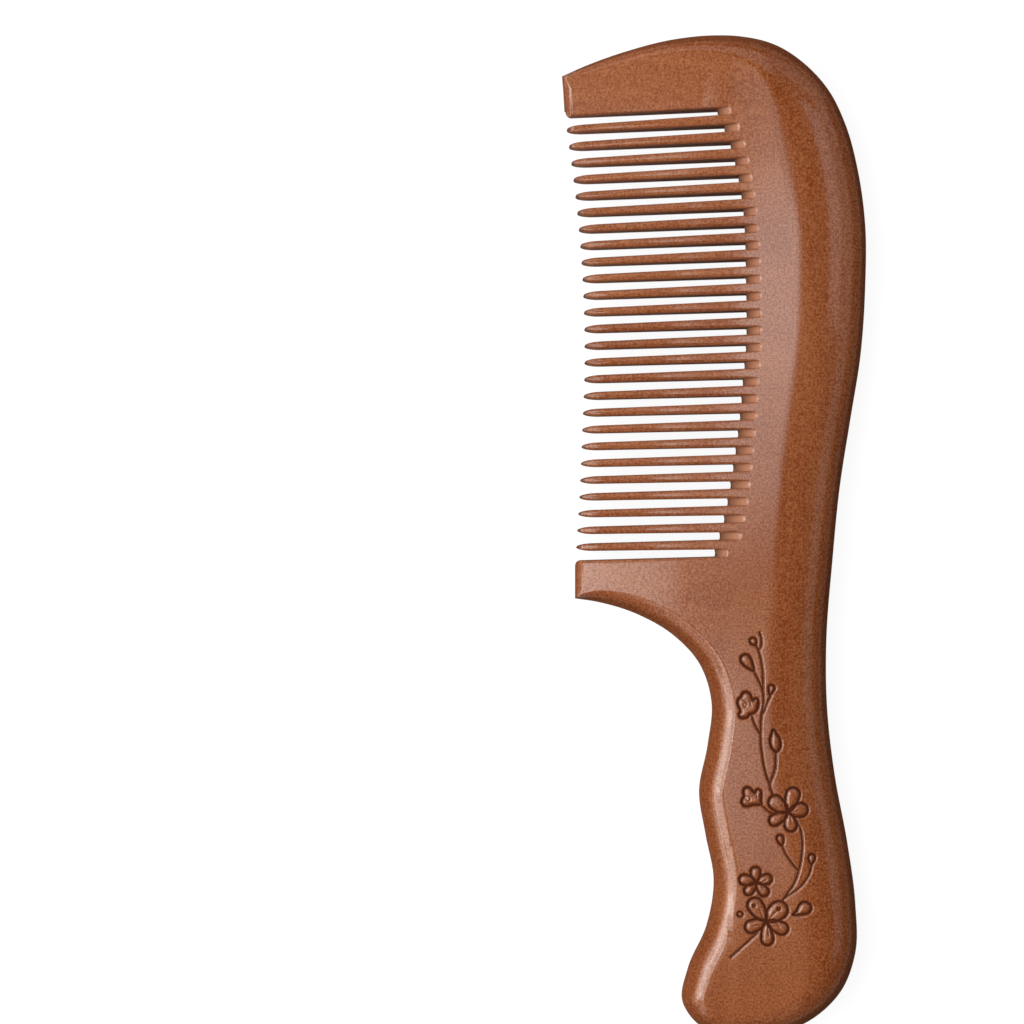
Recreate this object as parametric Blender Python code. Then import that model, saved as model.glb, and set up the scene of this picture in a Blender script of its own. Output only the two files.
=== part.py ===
"""A handled wooden comb, lying on its back face with its front face up.

It is glued up from three pieces of wood. The handle and back are one board, with the grain along the comb. The tooth
board holds the teeth and both end guards, with the grain along the teeth, so that no tooth snaps across the grain.
The two meet on an arc, and a hidden tongue sits in a groove in both. The finished comb is sanded flush and lacquered,
so the joint does not show.

+X runs from the tooth tips to the back, +Y from the handle to the top of the comb, and Z through its thickness.
"""

import math

import bmesh
import bpy
import numpy as np
from mathutils import Vector, geometry

# Overall sizes, in metres
COMB_LENGTH = 0.190
COMB_WIDTH = 0.0577
BODY_THICKNESS = 0.010
GUARD_EDGE_THICKNESS = 0.004

# How far in from the outline the back's rounding starts, where it is widest
BACK_ROUNDING = 0.0142

# Teeth and the gaps between them
TOOTH_COUNT = 26
ROOT_GAP = 0.00165
TIP_WIDTH = 0.0012
TIP_LENGTH = 0.0020
TOOTH_EDGE_ROUNDING = 0.0004
RUN_OUT = 0.0036
END_RUN_OUT = 0.0023
GUARD_CORNER = 0.0011
TOP_GAP_SLOPE = math.radians(3.8)
BOTTOM_GAP_SLOPE = math.radians(1.5)

# The glued joint
TONGUE_THICKNESS = 0.003
TONGUE_DEPTH = 0.0035
GLUE_GAP = 0.0003

# How far a cutter runs past what it cuts
OVERRUN = 0.004

# The outline from the top guard's outer corner over the top, down the back, round the handle and up to the lower
# guard's outer corner: shares of the width, the length (from the lower left) and the back's rounding
OUTLINE_SHARES = (
    (0.000, 0.9590, 0.05),
    (0.069, 0.9685, 0.12),
    (0.214, 0.9843, 0.17),
    (0.355, 0.9953, 0.21),
    (0.500, 1.0000, 0.28),
    (0.579, 0.9993, 0.34),
    (0.701, 0.9907, 0.52),
    (0.803, 0.9705, 0.72),
    (0.880, 0.9441, 0.86),
    (0.934, 0.9101, 0.95),
    (0.974, 0.8646, 1.00),
    (0.998, 0.8097, 1.00),
    (0.998, 0.7507, 0.99),
    (0.982, 0.6798, 0.96),
    (0.949, 0.6169, 0.92),
    (0.914, 0.5490, 0.88),
    (0.890, 0.4760, 0.86),
    (0.870, 0.3961, 0.82),
    (0.872, 0.3302, 0.81),
    (0.898, 0.2602, 0.83),
    (0.938, 0.1953, 0.82),
    (0.965, 0.1334, 0.74),
    (0.965, 0.0834, 0.63),
    (0.921, 0.0470, 0.52),
    (0.839, 0.0210, 0.43),
    (0.714, 0.0035, 0.34),
    (0.566, 0.0010, 0.28),
    (0.444, 0.0135, 0.25),
    (0.396, 0.0355, 0.23),
    (0.414, 0.0684, 0.24),
    (0.475, 0.1109, 0.25),
    (0.499, 0.1563, 0.25),
    (0.472, 0.2023, 0.25),
    (0.451, 0.2453, 0.25),
    (0.479, 0.2912, 0.25),
    (0.492, 0.3342, 0.25),
    (0.452, 0.3726, 0.25),
    (0.370, 0.4001, 0.25),
    (0.250, 0.4216, 0.24),
    (0.112, 0.4345, 0.16),
    (0.043, 0.4376, 0.05),
)

# The guards' outer edges, up from the lower guard's corner: the same shares
GUARD_EDGE_SHARES = (
    (0.043, 0.4480, 0.11),
    (0.043, 0.4900, 0.11),
    (0.012, 0.9050, 0.11),
    (0.004, 0.9450, 0.11),
)

# The gaps, from the top one to the bottom one: where the first and the last end, as shares of the length, and how
# far in they reach at evenly spaced gaps, as shares of the width
GAP_ROW_SHARES = (0.9246, 0.4836)
GAP_DEPTH_SHARES = (0.513, 0.566, 0.594, 0.604, 0.591, 0.550, 0.499)

# How far from the comb's left side the tooth tips stand, from the top tooth to the bottom one, and where the guards'
# inner corners are, as shares of the width
TIP_LINE_SHARES = (0.016, 0.042, 0.061, 0.072, 0.074, 0.067, 0.059, 0.047)
GUARD_SIDE_SHARES = (0.012, 0.043)

# The straight line from the top edge to the neck where the teeth's side starts to thin
THINNING_LINE_SHARES = ((0.602, 0.998), (0.421, 0.346))

# The joint's arc, through three places that are shares of the width and the length, and where the tongue starts and
# stops, as shares of the arc from the neck to the top
JOINT_ARC_SHARES = ((0.602, 0.9985), (0.750, 0.7058), (0.454, 0.3721))
TONGUE_SPAN_SHARES = (0.10, 0.88)

# The gap cutter's levels: shares of half the thickness, of the tooth's edge rounding and of the run-out
GAP_LEVEL_SHARES = ((0.45, 0.0, 0.0), (0.82, 0.15, 0.55), (1.04, 1.0, 1.05))

# How finely the curves are drawn
OUTLINE_STEPS = 3
ROUNDING_STEPS = 5
GAP_END_STEPS = 6
TIP_STEPS = 6
JOINT_STEPS = 240
TONGUE_STEPS = 28
CREASE_ANGLE = math.radians(35)


def smooth_run(places, steps):
    """Places along a smooth curve through the given ones, with handles a third as long as each stretch."""
    places = [Vector(place) for place in places]
    lengths = [(end - start).length for start, end in zip(places, places[1:])]
    leans = [(end - start) / length for start, end, length in zip(places, places[1:], lengths)]
    tangents = [leans[0]]
    for before, after, lean_in, lean_out in zip(lengths, lengths[1:], leans, leans[1:]):
        tangents.append((lean_in * after + lean_out * before) / (before + after))
    tangents.append(leans[-1])
    run = []
    for i, length in enumerate(lengths):
        start, end = places[i], places[i + 1]
        handles = start + tangents[i] * length / 3, end - tangents[i + 1] * length / 3
        run += geometry.interpolate_bezier(start, *handles, end, steps + 1)[:-1]
    return run + [places[-1]]


def sized(shares):
    """Shares of the width, the length and the back's rounding as metres from the comb's lower left."""
    width_share, length_share, rounding_share = shares
    return Vector((width_share * COMB_WIDTH, length_share * COMB_LENGTH, rounding_share * BACK_ROUNDING))


def outline():
    """The comb's outline, clockwise from above: x, y and how wide the rounding is there."""
    back = smooth_run([sized(shares) for shares in OUTLINE_SHARES], OUTLINE_STEPS)
    return back + [sized(shares) for shares in GUARD_EDGE_SHARES]


def box_centre(places):
    xs = [place.x for place in places]
    ys = [place.y for place in places]
    return Vector(((min(xs) + max(xs)) / 2, (min(ys) + max(ys)) / 2, 0))


OUTLINE = outline()
CENTRE = box_centre(OUTLINE)


def placed(shares):
    """A place given as shares of the width and the length, in metres from the comb's centre."""
    return sized((*shares, 0)) - CENTRE


def along_row(shares, count):
    """Evenly spaced values on a smooth curve through the given shares of the width, as places across the comb."""
    stations = smooth_run([(i / (len(shares) - 1), share, 0) for i, share in enumerate(shares)], count)
    wanted = np.linspace(0, 1, count)
    found = np.interp(wanted, [station.x for station in stations], [station.y for station in stations])
    return [placed((share, 0)).x for share in found]


def thinning():
    """Where the thinning starts, the direction across that line, and how far it is to the comb's left side."""
    top, neck = (placed(shares) for shares in THINNING_LINE_SHARES)
    outward = (neck - top).cross(Vector((0, 0, 1))).normalized()
    if outward.x > 0:
        outward.negate()
    reach = (placed((0, THINNING_LINE_SHARES[0][1])) - top).dot(outward)
    return top, outward, reach


def thickness_share(place):
    """The thickness at a place as a share of the body's, thinning evenly towards the tooth tips."""
    top, outward, reach = thinning()
    past = max((Vector((place.x, place.y, 0)) - top).dot(outward), 0)
    return 1 - (1 - GUARD_EDGE_THICKNESS / BODY_THICKNESS) * past / reach


def ring(shape, places):
    """A closed loop of edges through the places."""
    corners = [shape.verts.new(place) for place in places]
    for start, end in zip(corners, corners[1:] + corners[:1]):
        shape.edges.new((start, end))
    return corners


def grow(shape, loop, places):
    """Extrudes a loop to new places and returns the new loop in the same order."""
    edges = [shape.edges.get((start, end)) for start, end in zip(loop, loop[1:] + loop[:1])]
    made = bmesh.ops.extrude_edge_only(shape, edges=edges)["geom"]
    new = {corner for corner in made if isinstance(corner, bmesh.types.BMVert)}
    grown = [next(e.other_vert(c) for e in c.link_edges if e.other_vert(c) in new) for c in loop]
    for corner, place in zip(grown, places):
        corner.co = place
    return grown


def inward_directions(places):
    """The direction into the outline at each place, lengthened at corners so that both edges move in alike."""
    found = []
    for before, here, after in zip(places[-1:] + places[:-1], places, places[1:] + places[:1]):
        lean_in = (here.xy - before.xy).normalized()
        lean_out = (after.xy - here.xy).normalized()
        across = Vector((lean_in.y + lean_out.y, -lean_in.x - lean_out.x, 0))
        found.append(across * 2 / across.length_squared)
    return found


def make_blank(shape):
    """The comb as one sanded board with no gaps: rounded from the middle of its edge to a flat on each face."""
    inward = inward_directions(OUTLINE)
    rim = [Vector((place.x, place.y, 0)) - CENTRE for place in OUTLINE]
    middle = ring(shape, rim)
    for side in (-1, 1):
        loop = middle
        for step in range(1, ROUNDING_STEPS + 1):
            angle = math.pi / 2 * step / ROUNDING_STEPS
            height = Vector((0, 0, side * BODY_THICKNESS / 2 * math.sin(angle)))
            inset = 1 - math.cos(angle)
            places = [r + n * o.z * inset + height for r, n, o in zip(rim, inward, OUTLINE)]
            loop = grow(shape, loop, places)
        shape.faces.new(loop)
    top, outward, _ = thinning()
    everything = shape.verts[:] + shape.edges[:] + shape.faces[:]
    bmesh.ops.bisect_plane(shape, geom=everything, plane_co=top, plane_no=outward, dist=0)
    for corner in shape.verts:
        corner.co.z *= thickness_share(corner.co)


def gap_centres():
    """Each gap's inner end and the direction from it to its mouth, from the top gap to the bottom one."""
    count = TOOTH_COUNT + 1
    first, last = (placed((0, share)).y for share in GAP_ROW_SHARES)
    depths = along_row(GAP_DEPTH_SHARES, count)
    rows = np.linspace(first, last, count)
    slopes = np.linspace(TOP_GAP_SLOPE, BOTTOM_GAP_SLOPE, count)
    return [
        (Vector((x, y, 0)), Vector((-math.cos(slope), -math.sin(slope), 0)))
        for x, y, slope in zip(depths, rows, slopes)
    ]


def tooth_tips():
    """Each tooth's tip and its direction, halfway between the gaps on its two sides."""
    gaps = gap_centres()
    found = []
    for x, (above, lean_above), (below, lean_below) in zip(along_row(TIP_LINE_SHARES, TOOTH_COUNT), gaps, gaps[1:]):
        root = (above + below) / 2
        lean = (lean_above + lean_below).normalized()
        found.append((root + lean * (x - root.x) / lean.x, lean))
    return found


def end_of_gap(end, lean, widening, run_out):
    """Round the inner end of one gap, from its upper side to its lower side."""
    across = Vector((lean.y, -lean.x, 0))
    half = ROOT_GAP / 2 + widening
    places = []
    for step in range(GAP_END_STEPS + 1):
        angle = math.pi * step / GAP_END_STEPS
        places.append(end + across * half * math.cos(angle) - lean * (run_out + half * math.sin(angle) / 2))
    return places


def round_tip(tip, lean, narrowing):
    """Round one tooth's point, from its upper side to its lower side."""
    across = Vector((lean.y, -lean.x, 0))
    half = TIP_WIDTH / 2 - narrowing
    places = []
    for step in range(TIP_STEPS + 1):
        angle = math.pi * step / TIP_STEPS
        back = TIP_LENGTH * (1 - math.sin(angle)) + narrowing
        places.append(tip + across * half * math.cos(angle) - lean * back)
    return places


def round_guard(corner, side, growth):
    """Round a guard's inner corner, starting outside the comb: side is 1 for the top guard and -1 for the lower."""
    outside = Vector((-OVERRUN - corner.x - COMB_WIDTH / 2, 0, 0))
    middle = corner + Vector((GUARD_CORNER, side * GUARD_CORNER, 0))
    radius = GUARD_CORNER - growth
    places = []
    for angle in np.linspace(0, math.pi / 2, TIP_STEPS):
        places.append(middle - Vector((math.cos(angle), side * math.sin(angle), 0)) * radius)
    return [places[0] + outside] + places


def gap_outline(rounding_share, run_out_share):
    """The outline of everything that is cut away between the teeth, at one level."""
    growth = rounding_share * TOOTH_EDGE_ROUNDING
    gaps = gap_centres()
    tips = tooth_tips()
    pitch = (tips[0][0] - tips[-1][0]).length / (TOOTH_COUNT - 1)
    mouth = (pitch - TIP_WIDTH) / 2
    guards = []
    for side, share, (end, lean) in zip((1, -1), GUARD_SIDE_SHARES, (gaps[0], gaps[-1])):
        x = placed((share, 0)).x
        guards.append(Vector((x, (end + lean * (x - end.x) / lean.x).y + side * mouth, 0)))
    places = round_guard(guards[0], 1, growth)
    for i, (end, lean) in enumerate(gaps):
        outermost = i in (0, TOOTH_COUNT)
        run_out = (END_RUN_OUT if outermost else RUN_OUT) * run_out_share
        places += end_of_gap(end, lean, growth, run_out)
        if i < TOOTH_COUNT:
            places += round_tip(*tips[i], growth)
    return places + round_guard(guards[1], -1, growth)[::-1]


def make_gaps(shape):
    """One cutter for all the gaps: narrow and upright at mid thickness, wider and running out towards each face."""
    levels = [(-depth, *shares) for depth, *shares in reversed(GAP_LEVEL_SHARES)] + list(GAP_LEVEL_SHARES)
    loop = None
    for depth, rounding_share, run_out_share in levels:
        places = []
        for place in gap_outline(rounding_share, run_out_share):
            height = depth * thickness_share(place) * BODY_THICKNESS / 2
            places.append(place + Vector((0, 0, height)))
        if loop is None:
            bottom = ring(shape, places)
            loop = bottom
        else:
            loop = grow(shape, loop, places)
    for side, end in ((-1, bottom), (1, loop)):
        height = side * (BODY_THICKNESS / 2 + OVERRUN)
        cap = grow(shape, end, [Vector((corner.co.x, corner.co.y, height)) for corner in end])
        shape.faces.new(cap)


def joint_circle():
    """The centre and the radius of the joint's arc, and its angles at the neck and at the top."""
    top, middle, neck = (placed(shares) for shares in JOINT_ARC_SHARES)
    rows = np.array([[2 * (p - top).x, 2 * (p - top).y] for p in (middle, neck)])
    squares = [p.length_squared - top.length_squared for p in (middle, neck)]
    centre = Vector((*np.linalg.solve(rows, squares), 0))
    angles = [math.atan2((p - centre).y, (p - centre).x) for p in (neck, top)]
    return centre, (top - centre).length, angles


def make_joint_disc(shape, growth):
    """A disc as large as the joint's arc, through the whole comb."""
    centre, radius, _ = joint_circle()
    height = BODY_THICKNESS + 2 * OVERRUN
    bmesh.ops.create_cone(
        shape, cap_ends=True, segments=JOINT_STEPS, radius1=radius + growth, radius2=radius + growth, depth=height
    )
    bmesh.ops.translate(shape, verts=shape.verts, vec=centre)


def make_tongue(shape, clearance):
    """A strip bent along the joint's arc, half in each board; the grooves are the same with clearance all round."""
    centre, radius, (neck, top) = joint_circle()
    start, stop = (neck + share * (top - neck) for share in TONGUE_SPAN_SHARES)
    start -= clearance / radius
    stop += clearance / radius
    reach = TONGUE_DEPTH + clearance
    half = TONGUE_THICKNESS / 2 + clearance
    section = [(-reach, -half), (reach, -half), (reach, half), (-reach, half)]
    facing = Vector((math.cos(start), math.sin(start), 0))
    corners = [shape.verts.new(centre + facing * (radius + out) + Vector((0, 0, up))) for out, up in section]
    end = shape.faces.new(corners)
    sweep = stop - start
    bmesh.ops.spin(shape, geom=[end], cent=centre, axis=(0, 0, 1), angle=sweep, steps=TONGUE_STEPS)


def clear_scene():
    for old in list(bpy.data.objects):
        bpy.data.objects.remove(old, do_unlink=True)


def wood(name, colour, roughness):
    material = bpy.data.materials.new(name)
    material.use_nodes = True
    shader = material.node_tree.nodes["Principled BSDF"]
    shader.inputs["Base Color"].default_value = (*colour, 1)
    shader.inputs["Roughness"].default_value = roughness
    shader.inputs["Metallic"].default_value = 0
    return material


def new_object(name, make, *sizes):
    """An object whose mesh the given function makes, with outward faces and smooth shading between its creases."""
    mesh = bpy.data.meshes.new(name)
    shape = bmesh.new()
    make(shape, *sizes)
    bmesh.ops.recalc_face_normals(shape, faces=shape.faces)
    shape.to_mesh(mesh)
    shape.free()
    mesh.shade_smooth()
    mesh.set_sharp_from_angle(angle=CREASE_ANGLE)
    made = bpy.data.objects.new(name, mesh)
    bpy.context.scene.collection.objects.link(made)
    return made


def piece(name, make, material, *sizes):
    made = new_object(name, make, *sizes)
    made.location.z = BODY_THICKNESS / 2
    made.data.materials.append(material)
    return made


def cutter(name, make, *sizes):
    made = new_object(name, make, *sizes)
    made.location.z = BODY_THICKNESS / 2
    made.hide_render = True
    made.display_type = "WIRE"
    return made


def cut(target, tool, operation="DIFFERENCE"):
    step = target.modifiers.new(tool.name, "BOOLEAN")
    step.operation = operation
    step.solver = "EXACT"
    step.object = tool


def build():
    clear_scene()
    back_wood = wood("stained_wood_back", (0.34, 0.13, 0.055), 0.34)
    tooth_wood = wood("stained_wood_teeth", (0.31, 0.115, 0.05), 0.36)
    raw_wood = wood("raw_wood", (0.60, 0.42, 0.26), 0.7)

    gaps = cutter("gaps_cutter", make_gaps)
    groove = cutter("groove_cutter", make_tongue, GLUE_GAP)
    back_side = cutter("back_joint_cutter", make_joint_disc, GLUE_GAP / 2)
    tooth_side = cutter("tooth_joint_cutter", make_joint_disc, -GLUE_GAP / 2)

    handle_and_back = piece("handle_and_back", make_blank, back_wood)
    cut(handle_and_back, back_side)
    cut(handle_and_back, groove)

    tooth_board = piece("tooth_board", make_blank, tooth_wood)
    cut(tooth_board, tooth_side, "INTERSECT")
    cut(tooth_board, groove)
    cut(tooth_board, gaps)

    piece("joint_tongue", make_tongue, raw_wood, 0)


build()
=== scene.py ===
"""The looks of a handled wooden comb: a stained and lacquered comb of two boards of crossed grain, glued on an arc,
with a sprig of blossom carved in the front of its handle.

The file is laid out as a Blender add-on: its sizes and colours are properties, each piece has an operator, and a panel
in the 3D view's sidebar lists them. The comb lies on its back face. +X runs from the tooth tips to the back, +Y from
the handle to the top, and Z through the thickness.
"""

import math

import bmesh
import bpy
import numpy as np
from mathutils import Matrix, Vector, bvhtree, geometry


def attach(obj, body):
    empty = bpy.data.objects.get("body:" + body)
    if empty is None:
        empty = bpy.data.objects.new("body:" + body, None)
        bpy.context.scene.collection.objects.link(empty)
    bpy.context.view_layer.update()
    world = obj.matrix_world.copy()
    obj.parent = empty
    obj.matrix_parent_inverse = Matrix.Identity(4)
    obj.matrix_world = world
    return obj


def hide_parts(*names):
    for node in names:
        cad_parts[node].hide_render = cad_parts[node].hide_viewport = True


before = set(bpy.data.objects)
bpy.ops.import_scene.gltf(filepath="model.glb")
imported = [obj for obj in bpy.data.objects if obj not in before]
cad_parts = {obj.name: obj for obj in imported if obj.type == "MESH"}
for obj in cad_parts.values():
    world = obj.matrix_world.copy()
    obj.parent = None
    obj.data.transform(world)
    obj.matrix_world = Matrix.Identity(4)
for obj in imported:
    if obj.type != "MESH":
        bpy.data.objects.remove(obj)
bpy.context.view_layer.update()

bl_info = {
    "name": "Carved Wooden Comb",
    "version": (1, 0, 0),
    "blender": (4, 5, 0),
    "location": "3D View > Sidebar > Comb",
    "description": "Builds a carved and lacquered wooden comb around its frame",
    "category": "Object",
}

MM = 0.001

# The outline from the top guard's outer corner over the top, down the back, round the handle and up to the lower
# guard's outer corner: shares of the width, the length (from the lower left) and the back's rounding
OUTLINE_SHARES = (
    (0.000, 0.9590, 0.05),
    (0.069, 0.9685, 0.12),
    (0.214, 0.9843, 0.17),
    (0.355, 0.9953, 0.21),
    (0.500, 1.0000, 0.28),
    (0.579, 0.9993, 0.34),
    (0.701, 0.9907, 0.52),
    (0.803, 0.9705, 0.72),
    (0.880, 0.9441, 0.86),
    (0.934, 0.9101, 0.95),
    (0.974, 0.8646, 1.00),
    (0.998, 0.8097, 1.00),
    (0.998, 0.7507, 0.99),
    (0.982, 0.6798, 0.96),
    (0.949, 0.6169, 0.92),
    (0.914, 0.5490, 0.88),
    (0.890, 0.4760, 0.86),
    (0.870, 0.3961, 0.82),
    (0.872, 0.3302, 0.81),
    (0.898, 0.2602, 0.83),
    (0.938, 0.1953, 0.82),
    (0.965, 0.1334, 0.74),
    (0.965, 0.0834, 0.63),
    (0.921, 0.0470, 0.52),
    (0.839, 0.0210, 0.43),
    (0.714, 0.0035, 0.34),
    (0.566, 0.0010, 0.31),
    (0.444, 0.0135, 0.32),
    (0.396, 0.0355, 0.32),
    (0.414, 0.0684, 0.34),
    (0.475, 0.1109, 0.34),
    (0.499, 0.1563, 0.34),
    (0.472, 0.2023, 0.34),
    (0.451, 0.2453, 0.34),
    (0.479, 0.2912, 0.34),
    (0.492, 0.3342, 0.33),
    (0.452, 0.3726, 0.30),
    (0.370, 0.4001, 0.27),
    (0.250, 0.4216, 0.24),
    (0.112, 0.4345, 0.16),
    (0.043, 0.4376, 0.05),
)
GUARD_EDGE_SHARES = (
    (0.043, 0.4480, 0.11),
    (0.043, 0.4900, 0.11),
    (0.012, 0.9050, 0.11),
    (0.004, 0.9450, 0.11),
)

# The count of the teeth, and the joint's hidden tongue and the room round it, as in the frame
TOOTH_COUNT = 26
TONGUE_THICKNESS = 0.003
TONGUE_DEPTH = 0.0035
GLUE_GAP = 0.0003

# How far each cutter reaches past the comb, how near its two ends the outline's curve has no places, and how near two
# points of a cut mesh lie to become one
OVERRUN = 0.004
CORNER_CLEARANCE = 0.0012
MERGE_DISTANCE = 0.000012

# How far to each side of its line the thinning eases in, as a share of its reach
THINNING_EASE_SHARE = 0.22

# How far a gap's end and a run-out's end bulge, as shares of half their width
END_BULGE_SHARES = (0.25, 0.42)

# How long a petal's round end is, as a share of its half width, and how slim its root is
PETAL_END_SHARE = 1.0
PETAL_TAPER = 1.3

# The most of a small shape's half width that its swell takes up
SWELL_SHARE = 0.8

# What the picture takes in at the comb's mid thickness: its width and its middle, in metres
PICTURE_WIDTH = 0.19437
PICTURE_MIDDLE = (-0.03834, 0.00456)

# As the picture shows them: how the gaps slope at the top and at the bottom, their rows, ends and run-outs from the top
# gap to the bottom one, the tooth tips and the guards' inner sides
TOP_GAP_SLOPE = math.radians(3.2)
BOTTOM_GAP_SLOPE = math.radians(1.1)
GAP_ROW_SHARES = (0.9220, 0.8497, 0.7772, 0.7039, 0.6304, 0.5565, 0.4830)
GAP_DEPTH_SHARES = (
    0.5107, 0.5538, 0.5802, 0.5961, 0.6024, 0.6041, 0.6062,
    0.6041, 0.5938, 0.5847, 0.5704, 0.5533, 0.5323, 0.5016,
)
RUN_OUT_SHARES = (1.00, 0.93, 0.82, 0.85, 0.93, 1.01, 1.00, 1.05, 1.09, 1.18, 1.29, 1.45, 1.57, 1.70)
TIP_LINE_SHARES = (0.016, 0.042, 0.061, 0.072, 0.074, 0.067, 0.059, 0.047)
GUARD_SIDE_SHARES = (0.012, 0.043)

# The line where the thinning starts, the joint's arc, and the stretch of it that holds the tongue, as in the frame
THINNING_LINE_SHARES = ((0.602, 0.998), (0.421, 0.346))
JOINT_ARC_SHARES = ((0.602, 0.9985), (0.750, 0.7058), (0.454, 0.3721))
TONGUE_SPAN_SHARES = (0.10, 0.88)

# The sanding softens the teeth's edges less at their roots than at their points
ROOT_ROUNDING_SHARE = 0.45

# Where the lacquer is dull: the share of it that a sawn face turned to the front keeps, how upright a face of the outer
# edge is when it starts to lose its lacquer and when it has none, and how far below the flat faces that holds in full
SAWN_SHINE = 0.15
EDGE_DULL_RANGE = (0.10, 0.30)
EDGE_DULL_DEPTH = 0.001

# Where painted shade darkens the wood: the most of it on the outer edge, how deep the carving is when it starts and
# when it is full, as shares of a petal's depth, and how far a tooth's painted dark point reaches
EDGE_SHADE = 0.35
CARVING_SHADE_RANGE = (0.2, 0.9)
TIP_SHADE_LENGTH = 0.0011

# The gap's levels: shares of half the thickness, of the teeth's edge rounding and of the run-out
GAP_LEVEL_SHARES = (
    (0.30, 0.00, 0.00),
    (0.45, 0.00, 0.10),
    (0.58, 0.00, 0.24),
    (0.69, 0.00, 0.40),
    (0.78, 0.00, 0.56),
    (0.85, 0.00, 0.70),
    (0.90, 0.01, 0.81),
    (0.93, 0.06, 0.88),
    (0.955, 0.18, 0.93),
    (0.975, 0.36, 0.97),
    (0.99, 0.60, 1.00),
    (0.996, 0.76, 1.00),
    (1.00, 1.00, 1.00),
    (1.02, 1.60, 1.00),
)

# The wood's patterns, in metres across the grain, along it and through the thickness: the soft bands of growth, the
# pores, which are drawn twice as wide as real ones so that they show, and the tongue's fine bands; then the stain's
# mottle, which is as wide as it is long, and how high it stands in the lacquer
FIGURE_SIZE = (0.009, 0.060, 0.009)
PORE_SIZE = (0.00024, 0.0022, 0.00024)
BAND_SIZE = (0.0008, 0.020, 0.0008)
MOTTLE_SIZE = 0.00040
MOTTLE_RELIEF = 0.00004

# The numbers of the Mix node's sockets, since they share their names: its factor, its two numbers or colours, and its
# result as a number or as a colour
FACTOR = 0
NUMBER_A, NUMBER_B = 2, 3
COLOUR_A, COLOUR_B = 6, 7
MIXED_NUMBER, MIXED_COLOUR = 0, 2

# How finely the curves are drawn
OUTLINE_STEPS = 9
ROUNDING_STEPS = 32
THINNING_STEPS = 15
GAP_END_STEPS = 12
TIP_STEPS = 12
JOINT_STEPS = 720
TONGUE_STEPS = 56
SHAPE_STEPS = 6
FLOOR_SEGMENTS = 96
SWEEP_STEPS = 8

# The sharpest bend that is shaded smooth, and how flat and how steep at least the two faces at a gap's rim are
CREASE_ANGLE = math.radians(52)
RIM_FLAT_LIMIT = math.cos(math.radians(4))
RIM_STEEP_LIMIT = math.cos(math.radians(7))

# How much a face of the front looks up at least
FRONT_LIMIT = 0.2

# The carved panel: its corners, in millimetres from the comb's centre, its cells, where the left edge's rounding has
# surely ended, and how many lines cut each side of a cell on that rounding and near the carving
PANEL_CORNERS_MM = ((3.6, -15.5), (15.6, -15.5), (21.4, -64.0), (21.0, -84.0), (2.1, -84.0))
PANEL_CELL_MM = 1.2
PANEL_FLAT_FROM_MM = 5.4
PANEL_CUTS = 9

# The sprig, in millimetres across and along the comb from its centre: its stems from one end to the other
STEMS_MM = (
    ((7.63, -20.53), (8.18, -21.51), (8.50, -22.49), (8.82, -24.21), (9.05, -26.06), (9.03, -27.68), (9.08, -29.30),
     (9.18, -30.92), (9.01, -32.62), (8.74, -34.24), (8.63, -35.86), (8.61, -37.48), (8.71, -39.65), (8.93, -41.27),
     (9.25, -43.43), (9.69, -45.06), (10.23, -46.58), (10.55, -47.85), (10.93, -48.71)),
    ((8.40, -18.18), (8.71, -19.23), (8.76, -20.10), (8.61, -20.97), (8.23, -21.48)),
    ((7.52, -25.83), (8.18, -27.13), (8.71, -28.32), (9.05, -29.20)),
    ((10.42, -30.24), (9.89, -31.35), (9.48, -32.33), (9.05, -33.44)),
    ((6.93, -33.92), (7.41, -35.33), (8.07, -36.55), (8.61, -37.44)),
    ((11.48, -40.83), (11.48, -41.81), (11.42, -43.43), (10.99, -45.06), (10.35, -46.64)),
    ((8.82, -50.75), (9.50, -51.39), (10.25, -52.03), (11.19, -52.41)),
    ((15.34, -53.80), (15.96, -54.84), (16.32, -56.06), (16.47, -57.57), (16.47, -59.08), (16.32, -60.59),
     (16.00, -62.28), (15.45, -64.17), (14.62, -66.05), (13.61, -67.47), (12.89, -68.50)),
    ((12.74, -58.51), (13.15, -59.63), (13.91, -60.81), (14.66, -61.87), (15.62, -62.94)),
    ((18.34, -61.81), (17.70, -63.89), (16.85, -65.30), (15.62, -66.52), (14.30, -67.43), (13.17, -68.22)),
    ((8.03, -74.80), (6.29, -76.36), (2.92, -79.40)),
)

# Its blossoms seen from the front: the middle, then each petal's direction in degrees, reach and half width
BLOSSOMS_MM = (
    ((13.81, -52.11), ((142, 4.46, 1.42), (75, 4.89, 1.37), (11, 3.84, 1.37), (-78, 3.73, 1.25), (-150, 4.06, 1.14))),
    ((7.82, -65.28), ((95, 2.97, 0.99), (17, 3.05, 1.04), (-51, 3.23, 0.97), (-133, 3.08, 0.95), (168, 3.38, 1.06))),
    ((9.63, -72.61), ((125, 5.15, 1.52), (41, 4.93, 1.77), (-25, 4.55, 1.25), (-86, 4.63, 1.20), (-159, 4.24, 1.29))),
)

# Its buds: the middle of the round end, the radius and the point
BUDS_MM = (
    ((7.16, -19.78), 0.65, (7.63, -20.53)),
    ((5.75, -23.23), 1.02, (7.35, -25.53)),
    ((10.67, -28.58), 0.59, (10.36, -30.01)),
    ((12.25, -56.97), 0.68, (12.59, -58.40)),
    ((18.26, -60.59), 0.68, (18.15, -61.89)),
    ((4.69, -71.29), 0.50, (4.69, -71.75)),
    ((7.27, -69.67), 0.20, (7.30, -69.87)),
    ((11.97, -70.28), 0.20, (12.00, -70.48)),
)

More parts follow.
